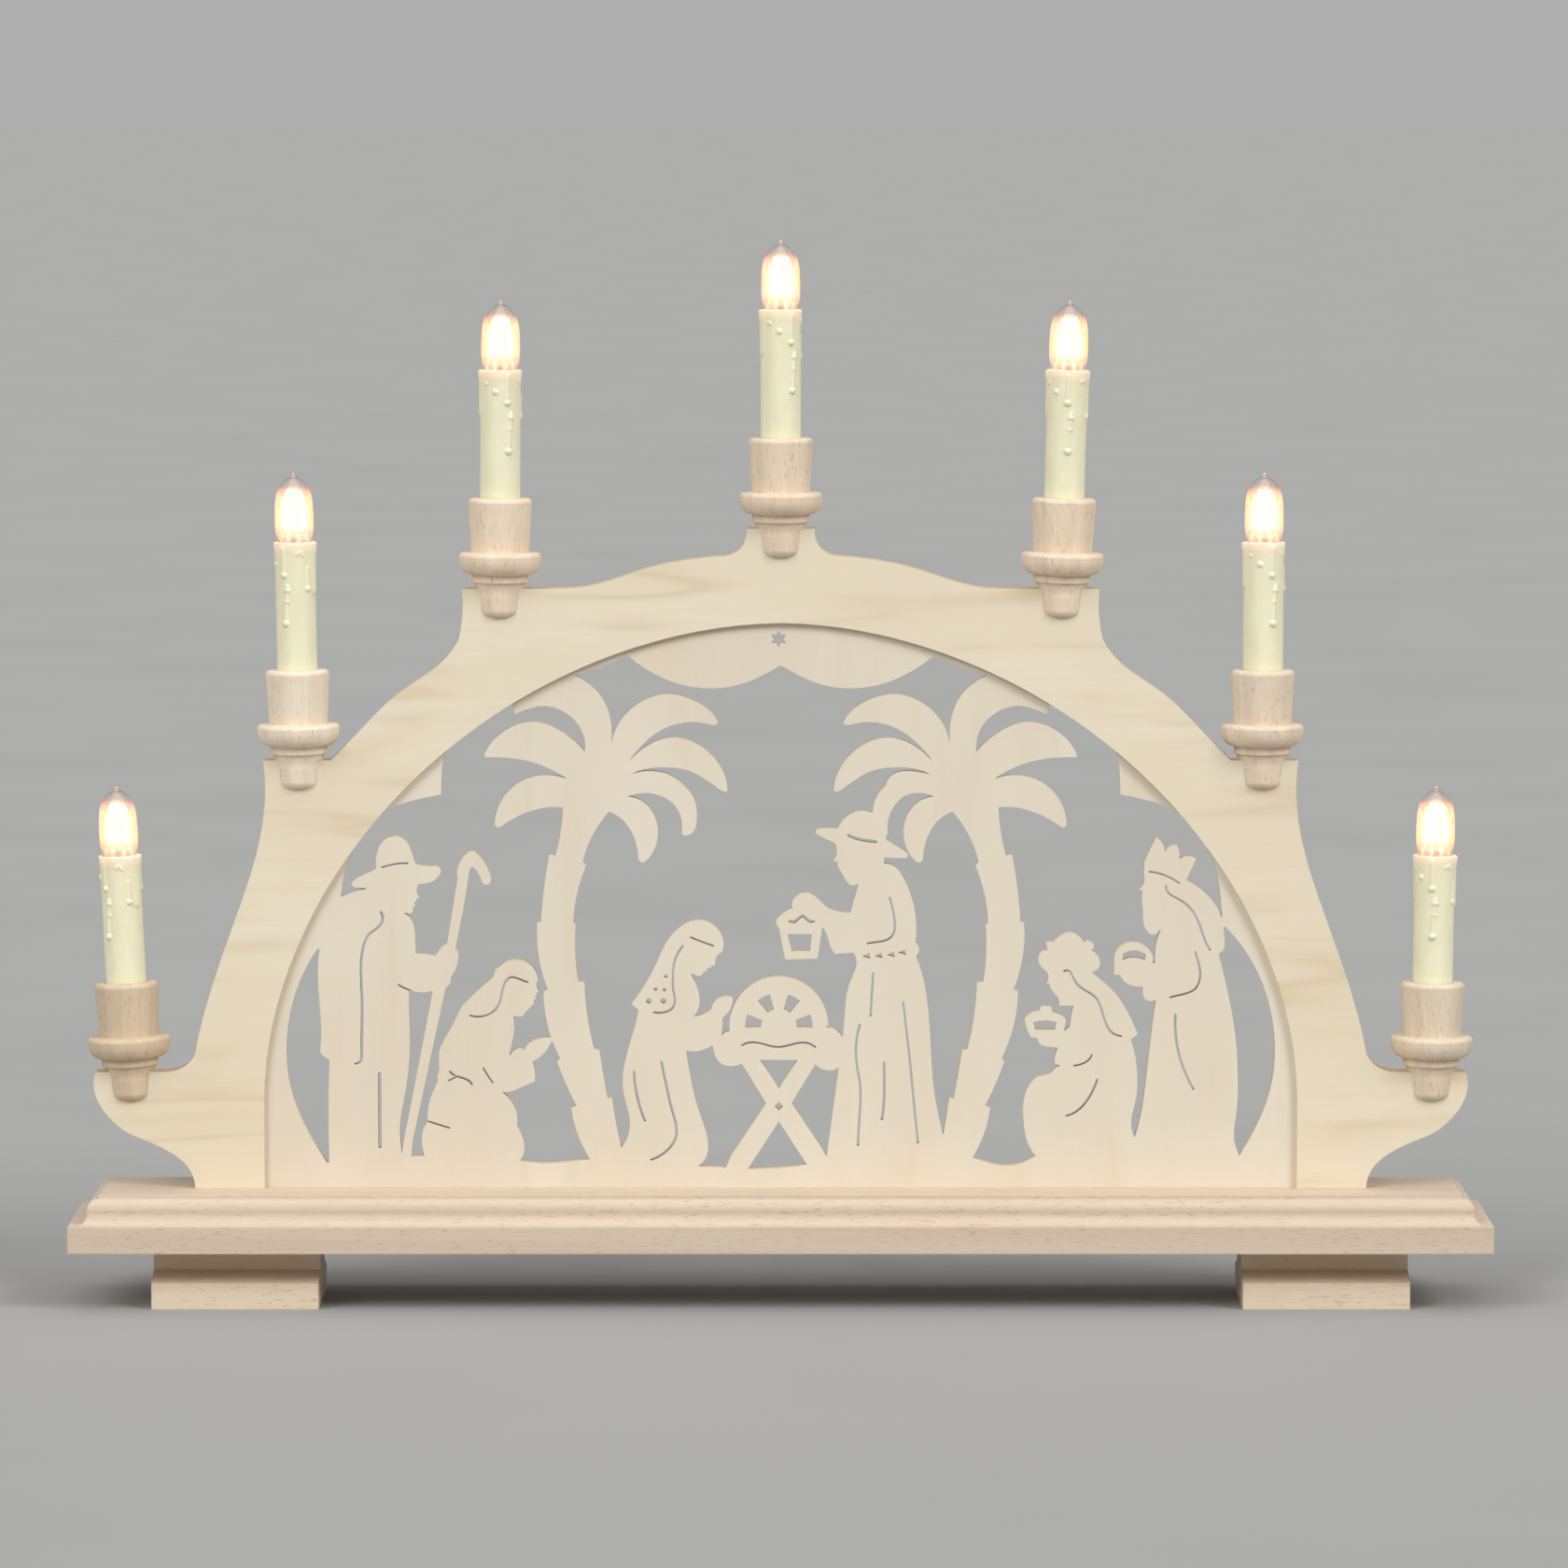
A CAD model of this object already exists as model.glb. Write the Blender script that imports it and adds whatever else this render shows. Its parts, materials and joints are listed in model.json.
import bpy
import bmesh
import json
import math
from mathutils import Matrix, Vector


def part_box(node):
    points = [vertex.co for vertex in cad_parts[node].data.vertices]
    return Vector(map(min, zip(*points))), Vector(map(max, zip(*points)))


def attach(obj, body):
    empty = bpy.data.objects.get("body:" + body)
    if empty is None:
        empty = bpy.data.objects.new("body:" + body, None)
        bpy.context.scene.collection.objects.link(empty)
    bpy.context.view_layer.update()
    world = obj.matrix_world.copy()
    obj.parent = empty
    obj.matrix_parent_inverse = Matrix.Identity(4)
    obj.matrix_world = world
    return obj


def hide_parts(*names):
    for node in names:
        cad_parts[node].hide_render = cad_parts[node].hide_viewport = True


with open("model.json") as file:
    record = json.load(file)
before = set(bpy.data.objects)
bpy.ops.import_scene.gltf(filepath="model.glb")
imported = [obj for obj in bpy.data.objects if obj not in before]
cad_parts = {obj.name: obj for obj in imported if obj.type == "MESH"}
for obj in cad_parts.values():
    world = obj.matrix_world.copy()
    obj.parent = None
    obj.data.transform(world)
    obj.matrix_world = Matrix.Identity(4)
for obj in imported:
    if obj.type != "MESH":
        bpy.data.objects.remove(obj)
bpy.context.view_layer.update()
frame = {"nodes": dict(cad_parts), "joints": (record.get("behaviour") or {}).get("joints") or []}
nodes = frame["nodes"]
mm = 0.001
candles = range(1, 8)
print("frame loaded:", len(nodes), "nodes")


# Colours are written as they look on screen, 0 to 255
def tone(red, green, blue):
    def linear(part):
        part = part / 255
        return part / 12.92 if part <= 0.04045 else ((part + 0.055) / 1.055) ** 2.4
    return (linear(red), linear(green), linear(blue), 1.0)


dark = tone(0, 0, 0)


# A shader socket that can be used in sums
class Wire:
    def __init__(self, tree, socket):
        self.tree = tree
        self.socket = socket

    def sum(self, operation, first, second):
        made = self.tree.nodes.new("ShaderNodeMath")
        made.operation = operation
        plug(self.tree, made.inputs[0], first)
        plug(self.tree, made.inputs[1], second)
        return Wire(self.tree, made.outputs[0])

    def __add__(self, other):
        return self.sum("ADD", self, other)

    def __radd__(self, other):
        return self.sum("ADD", other, self)

    def __sub__(self, other):
        return self.sum("SUBTRACT", self, other)

    def __rsub__(self, other):
        return self.sum("SUBTRACT", other, self)

    def __mul__(self, other):
        return self.sum("MULTIPLY", self, other)

    def __rmul__(self, other):
        return self.sum("MULTIPLY", other, self)

    def __truediv__(self, other):
        return self.sum("DIVIDE", self, other)

    def __rtruediv__(self, other):
        return self.sum("DIVIDE", other, self)

    def __pow__(self, other):
        return self.sum("POWER", self, other)

    def __rpow__(self, other):
        return self.sum("POWER", other, self)


def plug(tree, socket, value):
    if isinstance(value, Wire):
        tree.links.new(value.socket, socket)
    else:
        socket.default_value = value


# A material under way: any node but a sum comes from node()
class Finish:
    def __init__(self, name):
        self.material = bpy.data.materials.new(name)
        self.material.use_nodes = True
        self.tree = self.material.node_tree
        self.shader = self.tree.nodes["Principled BSDF"]

    def node(self, kind, settings, sockets, output=0):
        made = self.tree.nodes.new("ShaderNode" + kind)
        for name, value in settings.items():
            setattr(made, name, value)
        for name, value in sockets.items():
            plug(self.tree, made.inputs[name], value)
        return Wire(self.tree, made.outputs[output])

    def set(self, **values):
        for name, value in values.items():
            plug(self.tree, self.shader.inputs[name.replace("_", " ")], value)

    def place(self):
        return self.node("TexCoord", {}, {}, "Object")

    def parts(self, vector):
        return [self.node("SeparateXYZ", {}, {"Vector": vector}, i) for i in range(3)]

    def stretch(self, vector, scale, shift=(0, 0, 0)):
        return self.node("Mapping", {}, {"Vector": vector, "Scale": scale, "Location": shift})

    def cloud(self, vector, detail=2.0, roughness=0.5):
        return self.node("TexNoise", {}, {
            "Vector": vector, "Scale": 1.0, "Detail": detail, "Roughness": roughness})

    def grain(self, vector, along, length, width, detail, shift):  # a cloud drawn out along the wood
        scale = [1 / width] * 3
        scale[along] = 1 / length
        return self.cloud(self.stretch(vector, scale, shift), detail)

    def mix(self, factor, first, second):
        return self.node("Mix", {"data_type": "RGBA"}, {0: factor, 6: first, 7: second}, 2)

    def rise(self, value, low=0.3, high=0.7, bottom=0.0, top=1.0):
        return self.node("MapRange", {"interpolation_type": "SMOOTHSTEP"}, {
            "Value": value, "From Min": low, "From Max": high, "To Min": bottom, "To Max": top})

    def apart(self, value):  # distance from zero
        return self.node("Math", {"operation": "ABSOLUTE"}, {0: value})

    def wave(self, value):
        return self.node("Math", {"operation": "SINE"}, {0: value})

    def lines(self, value, count, sharpness):  # thin lines where a cloud crosses even levels
        level = self.node("Math", {"operation": "FRACT"}, {0: value * count})
        return (1 - 2 * self.apart(level - 0.5)) ** sharpness

    def edgeFaces(self, low, high):  # 1 on the sawn edges of a board that stands facing the front
        normal = self.node("NewGeometry", {}, {}, "True Normal")
        return 1 - self.rise(self.apart(self.parts(normal)[1]), low, high)

    def relief(self, height, distance, strength, rounding):
        soft = self.node("Bevel", {"samples": 4}, {"Radius": rounding})
        return self.node("Bump", {}, {
            "Height": height, "Distance": distance, "Strength": strength, "Normal": soft})


def dress(finish, *names):
    for name in names:
        nodes[name].data.materials.clear()
        nodes[name].data.materials.append(finish.material)


def each(stem):
    return [f"{stem}_{number}" for number in candles]


# Grain as clouds: length along the wood and width across it in metres, detail, and a shift of its own
plyGrain = {
    "breaks": (0.07, 0.03, 2.0, (3, 1, 7)), "broad": (0.16, 0.06, 2.0, (5, 9, 2)),
    "fibre": (0.022, 0.0012, 2.0, (1, 4, 8)), "pores": (0.005, 0.0005, 1.0, (8, 2, 5)),
}


# Peeled birch veneer on a glued board, its layers showing on the sawn edges
def birchPly(name, wood):
    board = Finish(name)
    place = board.place()

    def grain(kind):
        return board.grain(place, wood["along"], *plyGrain[kind])

    figure = board.grain(place, wood["along"], wood["figureLength"], wood["figureWidth"], 2.5, wood["shift"])
    streaks = board.lines(figure, wood["streaks"], wood["streakSharpness"])
    shades = board.lines(figure + 0.03, wood["streaks"] / 2, 1.6)
    breaks = board.rise(grain("breaks"), 0.38, 0.62)
    broad = board.rise(grain("broad"))
    fibre = grain("fibre")
    pores = board.rise(grain("pores"), 0.64, 0.76)
    veneer = board.mix(broad * 0.6 + shades * 0.4, wood["pale"], wood["warm"])
    veneer = board.mix(streaks * breaks * wood["streakStrength"], veneer, wood["streak"])
    veneer = board.mix(board.rise(fibre, top=wood["fibreStrength"]), veneer, wood["streak"])
    veneer = board.mix(pores * wood["poreStrength"], veneer, wood["pore"])

    depth = board.parts(place)[1]
    layer = board.rise(board.wave(depth * (math.pi / wood["layer"]) + wood["layerStart"]), -0.25, 0.25)
    sawn = board.mix(layer, wood["longLayer"], wood["endLayer"])
    sawMarks = board.cloud(board.stretch(place, (900, 500, 900)), 3.0)
    sawn = board.mix(board.rise(sawMarks, 0.35, 0.75, 0.0, 0.5), sawn, wood["sawMark"])
    edges = board.edgeFaces(0.55, 0.8)
    board.set(
        Base_Color=board.mix(edges, veneer, sawn),
        Roughness=board.rise(fibre, 0.2, 0.8, 0.5, 0.68) + 0.12 * edges,
        Normal=board.relief(fibre - 0.6 * pores, 0.00008, 0.35, wood["rounding"]),
        Specular_IOR_Level=0.32,
    )
    return board


archWood = {
    "along": 0, "figureLength": 0.32, "figureWidth": 0.030, "shift": (0.2, 0.0, 0.4),
    "streaks": 7.0, "streakSharpness": 3.0, "streakStrength": 0.55,
    "fibreStrength": 0.07, "poreStrength": 0.08,
    "pale": tone(232, 221, 198), "warm": tone(226, 212, 184),
    "streak": tone(211, 187, 147), "pore": tone(190, 164, 126),
    "layer": 1.43 * mm, "layerStart": 0.8,
    "longLayer": tone(226, 208, 174), "endLayer": tone(203, 178, 138), "sawMark": tone(188, 160, 120),
    "rounding": 0.35 * mm,
}
dress(birchPly("archPlywood", archWood), "arch")

panelWood = {
    "along": 2, "figureLength": 0.34, "figureWidth": 0.034, "shift": (1.3, 0.0, 2.2),
    "streaks": 5.0, "streakSharpness": 3.0, "streakStrength": 0.22,
    "fibreStrength": 0.05, "poreStrength": 0.06,
    "pale": tone(228, 219, 200), "warm": tone(222, 210, 190),
    "streak": tone(217, 192, 156), "pore": tone(200, 176, 142),
    "layer": 1.33 * mm, "layerStart": 0.2,
    "longLayer": tone(232, 216, 186), "endLayer": tone(208, 184, 146), "sawMark": tone(190, 162, 124),
    "rounding": 0.2 * mm,
}
dress(birchPly("panelPlywood", panelWood), "scene_panel")
print("plywood done")


beechGrain = {
    "broad": (0.12, 0.02, 2.0, (4, 7, 1)), "fibre": (0.012, 0.0006, 2.0, (2, 3, 5)),
    "patches": (0.05, 0.012, 2.0, (9, 5, 3)),
}


# Steamed beech: pink bands along the grain and short dark flecks
def beech(name, wood):
    board = Finish(name)
    place = board.place()

    def grain(*sizes):
        return board.grain(place, wood["along"], *sizes)

    bands = board.rise(grain(wood["bandLength"], wood["bandWidth"], 2.0, wood["shift"]), 0.34, 0.66)
    broad = board.rise(grain(*beechGrain["broad"]))
    fibre = grain(*beechGrain["fibre"])
    flecks = board.rise(grain(wood["fleckLength"], wood["fleckWidth"], 1.0, (6, 1, 9)), 0.60, 0.72)
    patches = board.rise(grain(*beechGrain["patches"]), 0.35, 0.65, 0.35, 1.0)
    colour = board.mix(bands * wood["bandStrength"], wood["pale"], wood["pink"])
    colour = board.mix(broad * 0.35, colour, wood["straw"])
    colour = board.mix(board.rise(fibre, top=wood["fibreStrength"]), colour, wood["vein"])
    colour = board.mix(flecks * patches * wood["fleckStrength"], colour, wood["fleck"])
    board.set(
        Base_Color=colour,
        Roughness=board.rise(fibre, 0.2, 0.8, 0.48, 0.64),
        Normal=board.relief(fibre - 0.7 * flecks, 0.0001, 0.4, wood["rounding"]),
        Specular_IOR_Level=0.32,
    )
    return board


beechWood = {
    "along": 0, "bandLength": 0.30, "bandWidth": 0.008, "bandStrength": 0.6, "shift": (0.4, 0.2, 0.6),
    "fleckLength": 0.0040, "fleckWidth": 0.00065, "fleckStrength": 0.42, "fibreStrength": 0.12,
    "pale": tone(211, 195, 175), "pink": tone(201, 180, 158), "straw": tone(207, 192, 167),
    "vein": tone(184, 158, 131), "fleck": tone(152, 122, 97),
    "rounding": 0.6 * mm,
}
footWood = dict(beechWood, bandWidth=0.012, shift=(2.1, 0.7, 1.4), pale=tone(229, 211, 187),
                pink=tone(222, 201, 173), straw=tone(226, 209, 180))
holderWood = dict(beechWood, along=2, bandWidth=0.0045, bandStrength=0.55, shift=(0.9, 1.7, 0.3),
                  fleckStrength=0.40, fibreStrength=0.16, rounding=0.3 * mm,
                  pale=tone(228, 211, 190), pink=tone(212, 190, 166), straw=tone(222, 204, 178),
                  vein=tone(190, 164, 138),
                  tints=((0.90, 0.87, 0.80), (1.14, 1.19, 1.22), (1.11, 1.11, 1.10), (1.07, 1.07, 1.05),
                         (1.09, 1.09, 1.07), (1.05, 1.06, 1.06), (1.00, 1.02, 1.00)))


# Each holder is turned from its own stick, a little paler or darker
def tinted(wood, tint):
    colours = {name: tuple(part * share for part, share in zip(wood[name], tint)) + (1.0,)
               for name in ("pale", "pink", "straw", "vein", "fleck")}
    return dict(wood, **colours)


dress(beech("plinthBeech", beechWood), "plinth")
dress(beech("footBeech", footWood), "foot_left", "foot_right")
for number, tint in zip(candles, holderWood["tints"]):
    dress(beech(f"holderBeech_{number}", tinted(holderWood, tint)), f"holder_{number}")
print("beech done")


# Metals and the socket plastic, mostly hidden in the candles
def metal(name, look):
    plate = Finish(name)
    scuffs = plate.cloud(plate.stretch(plate.place(), (700, 700, 160)), 3.0)
    plate.set(
        Base_Color=plate.mix(plate.rise(scuffs, 0.35, 0.7), look["bright"], look["dull"]),
        Roughness=plate.rise(scuffs, 0.3, 0.75, look["polish"], look["polish"] + 0.22),
        Metallic=1.0,
        Normal=plate.node("Bump", {}, {"Height": scuffs, "Distance": 0.00003, "Strength": 0.3}),
    )
    return plate


brass = {"bright": tone(232, 200, 128), "dull": tone(196, 158, 88), "polish": 0.24}
steel = {"bright": tone(206, 206, 203), "dull": tone(160, 160, 158), "polish": 0.30}
dress(metal("brassSheet", brass), *each("socket_contacts"), *each("bulb_cap"))
dress(metal("zincSteel", steel), "arch_screws", "foot_screws")

socketLook = {"white": tone(232, 230, 222), "shade": tone(214, 210, 199)}


def socketPlastic():
    body = Finish("socketPlastic")
    mottle = body.cloud(body.stretch(body.place(), (400, 400, 400)), 2.0)
    body.set(
        Base_Color=body.mix(body.rise(mottle), socketLook["white"], socketLook["shade"]),
        Roughness=body.rise(mottle, 0.2, 0.8, 0.34, 0.46),
        Normal=body.node("Bump", {}, {"Height": mottle, "Distance": 0.00002, "Strength": 0.3}),
    )
    return body


dress(socketPlastic(), *each("socket_core"))
print("metal and sockets done")


# Where each candle stands: its seat on the arch and the way it leans
def seat(number):
    turn = next(joint for joint in frame["joints"] if joint["name"] == f"bulb_{number}_turn")
    lean = Vector((0, 0, 1)).rotation_difference(Vector(turn["axis"]))
    return Matrix.Translation(turn["pos_m"]) @ lean.to_matrix().to_4x4()


uprightSeat = seat(4).translation.z
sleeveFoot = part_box("sleeve_4")[0].z - uprightSeat
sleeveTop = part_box("sleeve_4")[1].z - uprightSeat

# The moulded sleeve, with set wax running down it. Angles are in degrees round the sleeve from its
# longest run, depths below its top and widths in mm. A run has two ends (angle, depth), the half width
# at each and how far it stands out. A drop has its angle, depth, radius and stand.
sleeveForm = {
    "sides": 132, "fineDepth": 33.0, "fineRows": 124, "plainRows": 10,
    "radius": 7.35, "inside": 6.6, "lip": 0.42, "lipDepth": 6.0, "rimRound": 0.55, "rimWobble": 0.16,
    "runs": (
        (8, 16.0, 3, 22.0, 0.75, 0.65, 0.5), (3, 22.0, 0, 29.2, 0.6, 0.85, 0.5),
        (-4, 2.0, -4, 11.6, 0.8, 0.7, 0.45), (70, 9.5, 70, 16.6, 0.7, 0.8, 0.45),
        (36, 4.4, 45, 3.6, 0.7, 0.8, 0.3), (45, 3.6, 55, 5.2, 0.8, 0.6, 0.3),
        (-105, 0.0, -105, 15.0, 3.4, 2.4, 0.55), (98, 0.0, 97, 17.5, 3.2, 2.2, 0.55),
        (152, 1.0, 150, 12.0, 1.6, 0.9, 0.5), (-150, 2.0, -153, 21.5, 1.0, 0.7, 0.5),
        (179, 6.0, 178, 9.5, 0.7, 0.8, 0.4),
    ),
    "drops": (
        (7, 17.4, 1.25, 0.75), (4, 21.6, 1.05, 0.6), (0, 29.6, 1.45, 0.95), (-4, 12.0, 1.35, 0.85),
        (70, 17.0, 1.3, 0.8), (-40, 8.0, 1.2, 0.6), (150, 12.4, 1.4, 0.85), (-153, 22.0, 1.4, 0.85),
        (178, 9.8, 1.2, 0.6), (-70, 5.0, 1.0, 0.4),
    ),
    "turns": (-43, -28, 27, 36, 4, 26, -8),
}


def domed(distance, reach, stand):
    return stand * (1 - (distance / reach) ** 2) ** 0.7 if distance < reach else 0.0


def sleeveStand(angle, depth):
    form = sleeveForm
    arcLength = form["radius"] * math.pi / 180

    def sideways(other):
        return ((angle - other + 180) % 360 - 180) * arcLength

    stand = 0.0
    for fromAngle, fromDepth, toAngle, toDepth, fromHalf, toHalf, height in form["runs"]:
        runAcross = ((toAngle - fromAngle + 180) % 360 - 180) * arcLength
        runDown = toDepth - fromDepth
        across, down = sideways(fromAngle), depth - fromDepth
        share = (across * runAcross + down * runDown) / (runAcross ** 2 + runDown ** 2)
        share = min(1.0, max(0.0, share))
        distance = math.hypot(across - share * runAcross, down - share * runDown)
        stand = max(stand, domed(distance, fromHalf + share * (toHalf - fromHalf), height))
    for dropAngle, dropDepth, reach, height in form["drops"]:
        stand = max(stand, domed(math.hypot(sideways(dropAngle), depth - dropDepth), reach, height))
    return stand


def finishMesh(mesh, name):
    bmesh.ops.recalc_face_normals(mesh, faces=mesh.faces)
    made = bpy.data.meshes.new(name)
    mesh.to_mesh(made)
    mesh.free()
    return made


def sleeveMesh():
    form = sleeveForm
    length = (sleeveTop - sleeveFoot) / mm
    fine = [form["rimRound"] + i * (form["fineDepth"] - form["rimRound"]) / form["fineRows"]
            for i in range(form["fineRows"])]
    plain = [form["fineDepth"] + i * (length - form["fineDepth"]) / form["plainRows"]
             for i in range(form["plainRows"] + 1)]
    mesh = bmesh.new()
    rings = []

    def ring(radiusAt, depthAt):
        spots = []
        for side in range(form["sides"]):
            angle = 360 * side / form["sides"]
            turn = math.radians(angle)
            radius = radiusAt(angle) * mm
            spots.append(mesh.verts.new((radius * math.sin(turn), -radius * math.cos(turn),
                                         sleeveTop - depthAt(angle) * mm)))
        rings.append(spots)

    def rim(angle):  # the uneven edge of the mouth
        turn = math.radians(angle)
        return form["rimWobble"] * (math.sin(2 * turn + 0.6) + 0.6 * math.sin(5 * turn + 2.0) + 0.4) / 2

    def flare(depth):
        share = max(0.0, 1 - depth / form["lipDepth"])
        return form["lip"] * share * share * (3 - 2 * share)

    def outside(depth):
        return lambda angle: form["radius"] + flare(depth) + sleeveStand(angle, depth)

    # From the mouth's inner edge over the rounded rim, down the outside, and up the bore
    rimTop = form["radius"] + form["lip"]
    for step in range(5):
        bend = math.radians(90 * step / 5)
        inset = form["rimRound"] * (1 - math.sin(bend))
        drop = form["rimRound"] * (1 - math.cos(bend))
        ring(lambda angle, inset=inset: rimTop - inset, lambda angle, drop=drop: drop + max(0.0, rim(angle)))
    for depth in fine:
        settle = max(0.0, 1 - depth / 3.0)
        ring(outside(depth), lambda angle, d=depth, s=settle: d + s * max(0.0, rim(angle)))
    for depth in plain:
        ring(outside(depth), lambda angle, d=depth: d)
    ring(lambda angle: form["inside"], lambda angle: length)
    ring(lambda angle: form["inside"], lambda angle: 0.6)
    ring(lambda angle: form["inside"] + 0.15, lambda angle: 0.15 + max(0.0, rim(angle)))
    rings.append(rings[0])
    for upper, lower in zip(rings, rings[1:]):
        for side in range(form["sides"]):
            following = (side + 1) % form["sides"]
            corners = (upper[side], lower[side], lower[following], upper[following])
            mesh.faces.new(corners).smooth = True
    return finishMesh(mesh, "waxSleeve")


sleeveLook = {
    "cream": tone(244, 239, 206), "deep": tone(239, 232, 197), "lit": tone(250, 235, 211),
    "glow": tone(255, 196, 142), "glowStrength": 0.20, "glowDepth": 7.0,
}


def sleevePlastic():
    wax = Finish("candlePlastic")
    place = wax.place()
    height = wax.parts(place)[2]
    mottle = wax.cloud(wax.stretch(place, (260, 260, 90)), 3.0)
    grain = wax.cloud(wax.stretch(place, (1800, 1800, 1800)), 2.0)
    lit = wax.rise(height, sleeveTop - sleeveLook["glowDepth"] * mm, sleeveTop)
    colour = wax.mix(wax.rise(mottle), sleeveLook["cream"], sleeveLook["deep"])
    wax.set(
        Base_Color=wax.mix(lit * 0.8, colour, sleeveLook["lit"]),
        Roughness=wax.rise(mottle, 0.25, 0.75, 0.36, 0.50),
        Normal=wax.node("Bump", {}, {"Height": grain, "Distance": 0.00003, "Strength": 0.25}),
        Emission_Color=wax.mix(lit * lit, dark, sleeveLook["glow"]),
        Emission_Strength=sleeveLook["glowStrength"],
        Subsurface_Weight=0.25,
        Subsurface_Radius=(1.0, 0.75, 0.45),
        Subsurface_Scale=0.0018,
    )
    return wax


def putOnSeat(name, mesh, number, turn, body):
    piece = bpy.data.objects.new(name, mesh)
    bpy.context.scene.collection.objects.link(piece)
    piece.matrix_world = seat(number) @ Matrix.Rotation(math.radians(turn), 4, "Z")
    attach(piece, body)
    return piece


waxMesh = sleeveMesh()
waxMesh.materials.append(sleevePlastic().material)
for number, turn in zip(candles, sleeveForm["turns"]):
    piece = putOnSeat(f"waxSleeve_{number}", waxMesh, number, turn, f"candle_{number}")
    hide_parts(f"sleeve_{number}")
print("sleeves done")


# The lamps: clear ribbed glass, and the light inside it as three shells, one in the other
glassLook = {
    "clear": (1.0, 0.985, 0.97, 1.0), "tint": (1.0, 0.965, 0.94, 1.0),
    "warm": tone(255, 158, 104), "warmStrength": 0.42, "ribs": 30,
}


def lampGlass():
    glass = Finish("lampGlass")
    span = glass.parts(glass.node("TexCoord", {}, {}, "Generated"))
    turn = glass.node("Math", {"operation": "ARCTAN2"}, {0: span[1] - 0.5, 1: span[0] - 0.5})
    ribs = glass.wave(turn * glassLook["ribs"]) * (1 - glass.rise(span[2], 0.72, 0.9))
    ripple = glass.cloud(glass.stretch(glass.place(), (120, 120, 60)), 2.0)
    warmth = glass.rise(span[2], 0.2, 0.42) * (1 - glass.rise(span[2], 0.7, 0.88))
    glass.set(
        Base_Color=glass.mix(glass.rise(ripple), glassLook["clear"], glassLook["tint"]),
        Roughness=glass.rise(ripple, 0.2, 0.8, 0.015, 0.05),
        Normal=glass.node("Bump", {}, {"Height": ribs, "Distance": 0.00006, "Strength": 0.5}),
        Transmission_Weight=1.0,
        IOR=1.46,
        Emission_Color=glass.mix(warmth, dark, glassLook["warm"]),
        Emission_Strength=glassLook["warmStrength"],
    )
    return glass


dress(lampGlass(), *each("bulb_glass"))

# Half outline of the light in mm: radius and height over the sleeve's top
glowForm = {
    "outline": ((0.0, 2.6), (4.2, 2.7), (5.4, 3.2), (5.95, 5.0), (6.25, 8.6), (6.2, 11.4), (5.5, 14.6),
                (4.3, 17.6), (2.6, 20.2), (0.0, 22.2)),
    "shells": ((1.0, 0.0), (0.9, 0.5), (0.76, 1.0)),
    "middle": 10.2, "sides": 40,
    "rim": tone(255, 130, 68), "halfway": tone(255, 224, 182), "core": tone(255, 253, 246),
    "strength": 2.4, "fadeFrom": 15.0, "fadeTo": 21.0,
}


# Rings of points for a form turned round its axis, from a half outline; a ring of one point is a pole
def turnedRings(mesh, outline, sides):
    rings = []
    for radius, height in outline:
        count = sides if radius > 0 else 1
        turns = [2 * math.pi * side / count for side in range(count)]
        rings.append([mesh.verts.new((radius * mm * math.sin(turn), -radius * mm * math.cos(turn),
                                      sleeveTop + height * mm)) for turn in turns])
    return rings


def joinRings(mesh, rings, sides):
    for lower, upper in zip(rings, rings[1:]):
        for side in range(sides):
            following = (side + 1) % sides
            corners = [lower[side % len(lower)], lower[following % len(lower)],
                       upper[following % len(upper)], upper[side % len(upper)]]
            mesh.faces.new(list(dict.fromkeys(corners))).smooth = True


def glowMesh():
    form = glowForm
    mesh = bmesh.new()
    depthLayer = mesh.verts.layers.float.new("shellDepth")
    for scale, depth in form["shells"]:
        outline = [(scale * radius, form["middle"] + scale * (height - form["middle"]))
                   for radius, height in form["outline"]]
        rings = turnedRings(mesh, outline, form["sides"])
        for spot in sum(rings, []):
            spot[depthLayer] = depth
        joinRings(mesh, rings, form["sides"])
    return finishMesh(mesh, "bulbGlow")


def glowLight():
    form = glowForm
    light = Finish("bulbLight")
    depth = light.node("Attribute", {"attribute_name": "shellDepth"}, {}, "Fac")
    height = light.parts(light.place())[2]
    streaks = light.cloud(light.stretch(light.place(), (900, 900, 60)), 2.0)
    fade = 1 - light.rise(height, sleeveTop + form["fadeFrom"] * mm, sleeveTop + form["fadeTo"] * mm)
    colour = light.mix(light.rise(depth, 0.0, 0.5), form["rim"], form["halfway"])
    colour = light.mix(light.rise(depth, 0.5, 1.0), colour, form["core"])
    thickness = light.rise(streaks, bottom=0.34, top=0.5) + 0.5 * depth
    light.set(
        Base_Color=dark,
        Specular_IOR_Level=0.0,
        Emission_Color=colour,
        Emission_Strength=form["strength"],
        Alpha=thickness * fade,
    )
    return light


lightMesh = glowMesh()
lightMesh.materials.append(glowLight().material)
for number in candles:
    piece = putOnSeat(f"bulbGlow_{number}", lightMesh, number, 0, f"bulb_{number}")

# The flared glass mount at the foot of each lamp, in mm: radius and height over the sleeve's top
mountForm = {
    "outline": ((4.8, -3.0), (5.4, -1.0), (5.45, 1.2), (5.1, 2.8), (4.0, 4.0), (2.8, 5.0), (0.0, 5.8)),
    "sides": 40, "flutes": 9, "milk": tone(255, 244, 236), "clear": tone(250, 218, 200),
    "warm": tone(255, 214, 190), "warmStrength": 0.75,
}


def mountMesh():
    mesh = bmesh.new()
    joinRings(mesh, turnedRings(mesh, mountForm["outline"], mountForm["sides"]), mountForm["sides"])
    return finishMesh(mesh, "lampMount")


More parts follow.
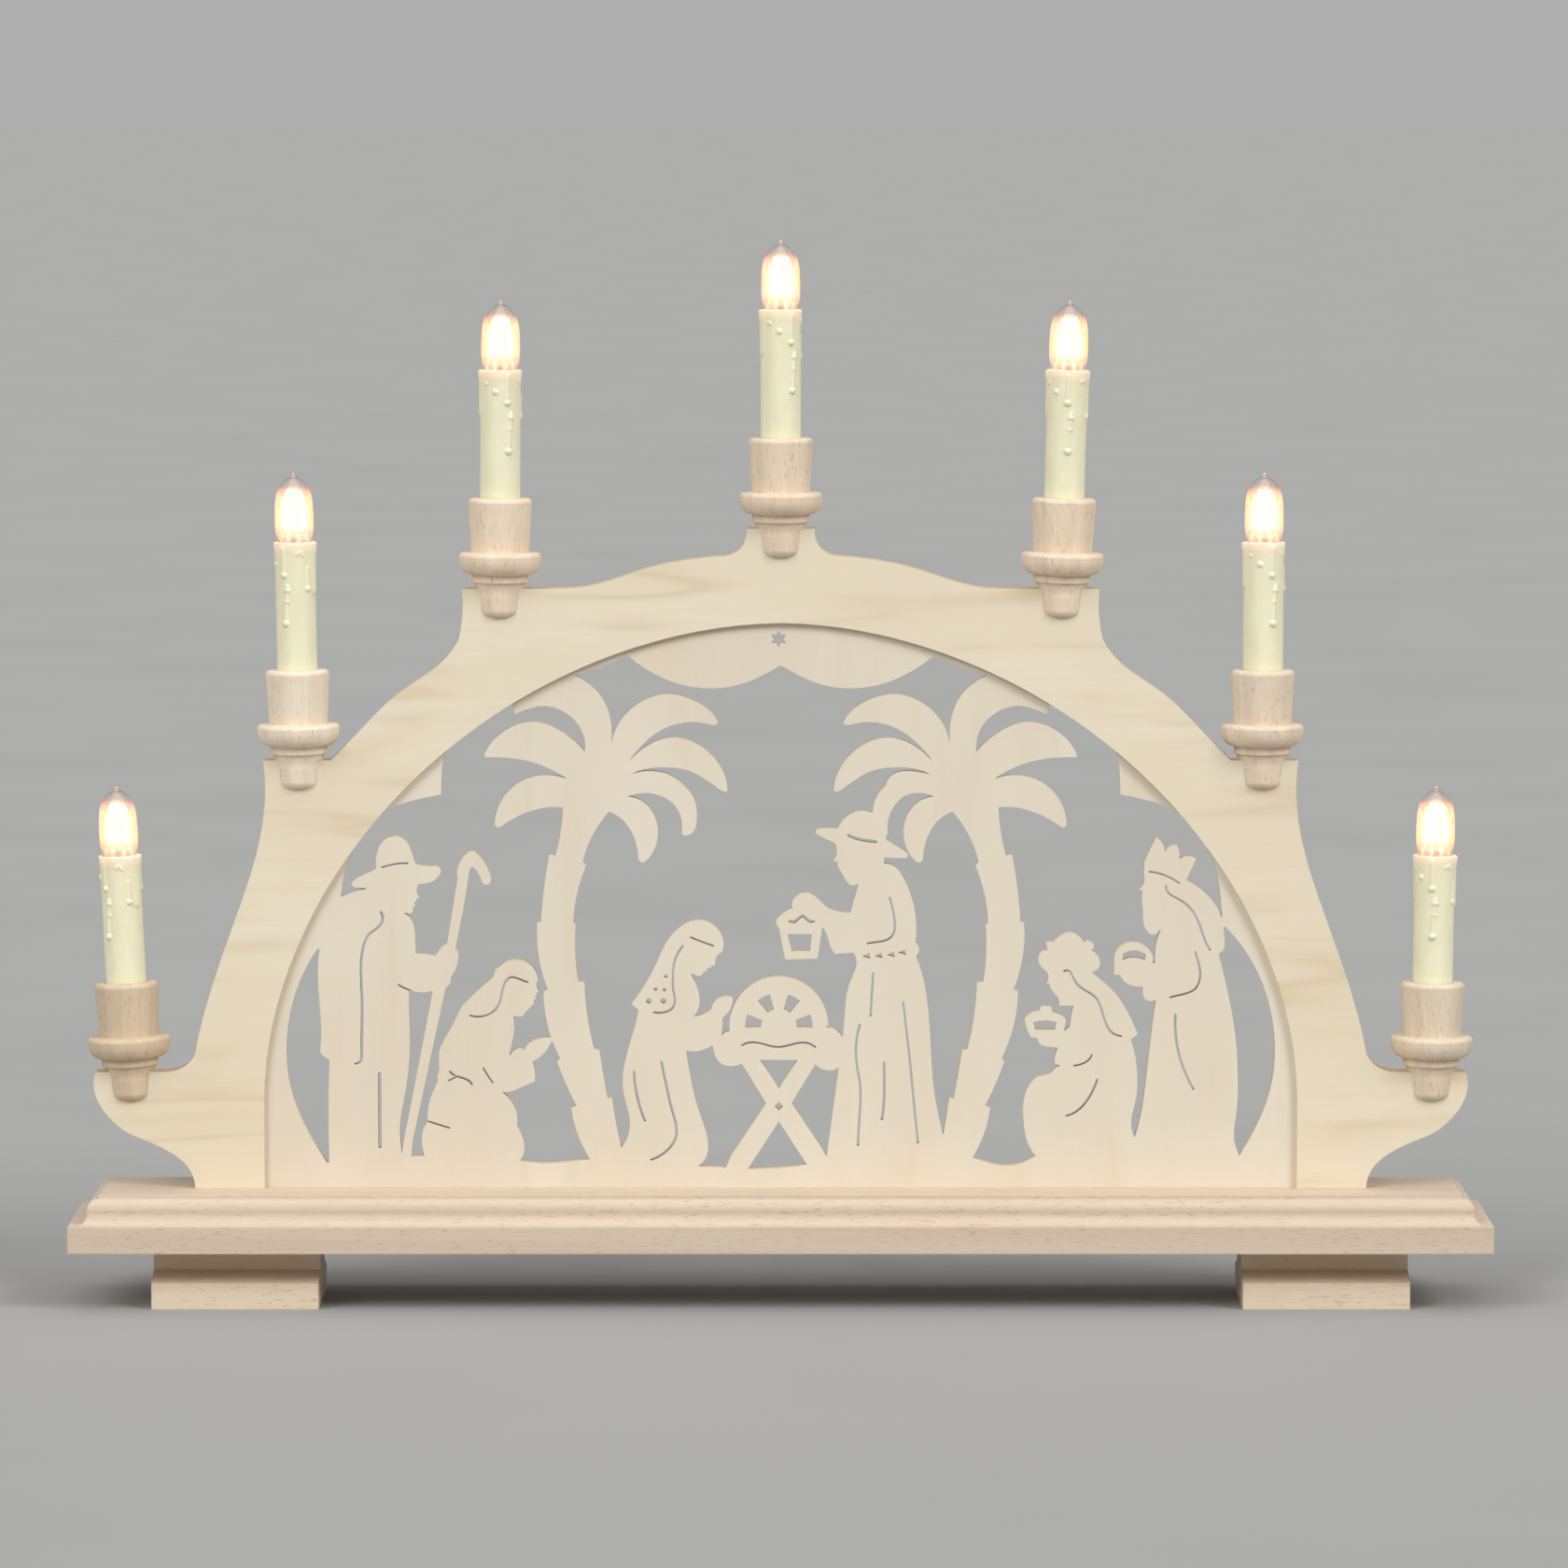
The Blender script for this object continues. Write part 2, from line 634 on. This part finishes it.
def mountGlass():
    form = mountForm
    glass = Finish("mountGlass")
    across, back, height = glass.parts(glass.place())
    turn = glass.node("Math", {"operation": "ARCTAN2"}, {0: back, 1: across})
    flutes = glass.rise(glass.wave(turn * form["flutes"]), -0.4, 0.8)
    lift = glass.rise(height, sleeveTop - 1 * mm, sleeveTop + 5 * mm)
    glass.set(
        Base_Color=glass.mix(flutes, form["clear"], form["milk"]),
        Roughness=glass.rise(flutes, 0.0, 1.0, 0.18, 0.3),
        Emission_Color=glass.mix(0.3 + 0.45 * lift + 0.25 * flutes, dark, form["warm"]),
        Emission_Strength=form["warmStrength"],
        Alpha=0.6 + 0.35 * flutes,
    )
    return glass


mount = mountMesh()
mount.materials.append(mountGlass().material)
for number in candles:
    piece = putOnSeat(f"lampMount_{number}", mount, number, 0, f"bulb_{number}")

filamentLook = {
    "wire": tone(150, 140, 130), "bead": tone(190, 186, 178), "hot": tone(255, 214, 150), "strength": 3.0,
}


def filamentWire():
    wire = Finish("filamentWire")
    span = wire.parts(wire.node("TexCoord", {}, {}, "Generated"))
    hot = wire.rise(span[2], 0.80, 0.92)
    draw = wire.cloud(wire.stretch(wire.place(), (2500, 2500, 300)), 2.0)
    wire.set(
        Base_Color=wire.mix(wire.rise(draw), filamentLook["wire"], filamentLook["bead"]),
        Roughness=wire.rise(draw, 0.2, 0.8, 0.25, 0.45),
        Metallic=1.0,
        Emission_Color=wire.mix(hot, dark, filamentLook["hot"]),
        Emission_Strength=filamentLook["strength"],
    )
    return wire


dress(filamentWire(), *each("bulb_filament"))
print("lamps done")


# Pale floor, soft light from above at both sides, and the camera
studio = {
    "floorSize": 120.0, "floor": (0.37, 0.37, 0.368, 1.0), "floorMottle": (0.36, 0.36, 0.358, 1.0),
    "backdrop": (0.42, 0.42, 0.418, 1.0), "sky": (1.0, 0.99, 0.975, 1.0), "skyStrength": 0.3,
    "suns": (("rightLight", (54, 0, 50), 1.62, 24), ("leftLight", (54, 0, -40), 1.5, 32),
             ("topLight", (12, 0, 0), 0.8, 60)),
    "lens": 177.5, "sensor": 36.0, "cameraPlace": (0.0012, -2.825, 0.4484), "cameraTilt": 84.793,
}


def studioFloor():
    mesh = bpy.data.meshes.new("studioFloor")
    half = studio["floorSize"] / 2
    corners = [(-half, -half, 0), (half, -half, 0), (half, half, 0), (-half, half, 0)]
    mesh.from_pydata(corners, [], [(0, 1, 2, 3)])
    floor = bpy.data.objects.new("studioFloor", mesh)
    bpy.context.scene.collection.objects.link(floor)
    paper = Finish("floorPaper")
    mottle = paper.cloud(paper.stretch(paper.place(), (5, 5, 5)), 2.0)
    paper.set(
        Base_Color=paper.mix(paper.rise(mottle), studio["floor"], studio["floorMottle"]),
        Roughness=0.9,
        Specular_IOR_Level=0.1,
    )
    mesh.materials.append(paper.material)


def studioLight():
    world = bpy.data.worlds.new("studio")
    bpy.context.scene.world = world
    world.use_nodes = True
    tree = world.node_tree
    tree.nodes.clear()
    path = tree.nodes.new("ShaderNodeLightPath")
    seen = Wire(tree, path.outputs["Is Camera Ray"]) + Wire(tree, path.outputs["Is Transmission Ray"])
    seen = seen + Wire(tree, path.outputs["Is Glossy Ray"])
    light, shown = tree.nodes.new("ShaderNodeBackground"), tree.nodes.new("ShaderNodeBackground")
    light.inputs["Color"].default_value = studio["sky"]
    light.inputs["Strength"].default_value = studio["skyStrength"]
    shown.inputs["Color"].default_value = studio["backdrop"]
    blend, output = tree.nodes.new("ShaderNodeMixShader"), tree.nodes.new("ShaderNodeOutputWorld")
    plug(tree, blend.inputs[0], seen)
    tree.links.new(light.outputs[0], blend.inputs[1])
    tree.links.new(shown.outputs[0], blend.inputs[2])
    tree.links.new(blend.outputs[0], output.inputs["Surface"])
    for name, aim, strength, softness in studio["suns"]:
        lamp = bpy.data.lights.new(name, "SUN")
        lamp.energy = strength
        lamp.angle = math.radians(softness)
        stand = bpy.data.objects.new(name, lamp)
        bpy.context.scene.collection.objects.link(stand)
        stand.rotation_euler = [math.radians(part) for part in aim]


def photoCamera():
    camera = bpy.data.objects.new("camera", bpy.data.cameras.new("camera"))
    bpy.context.scene.collection.objects.link(camera)
    camera.data.lens = studio["lens"]
    camera.data.sensor_width = studio["sensor"]
    camera.location = studio["cameraPlace"]
    camera.rotation_euler = (math.radians(studio["cameraTilt"]), 0, 0)
    bpy.context.scene.camera = camera


studioFloor()
studioLight()
photoCamera()
bpy.context.scene.view_settings.view_transform = "Standard"
print("studio done")
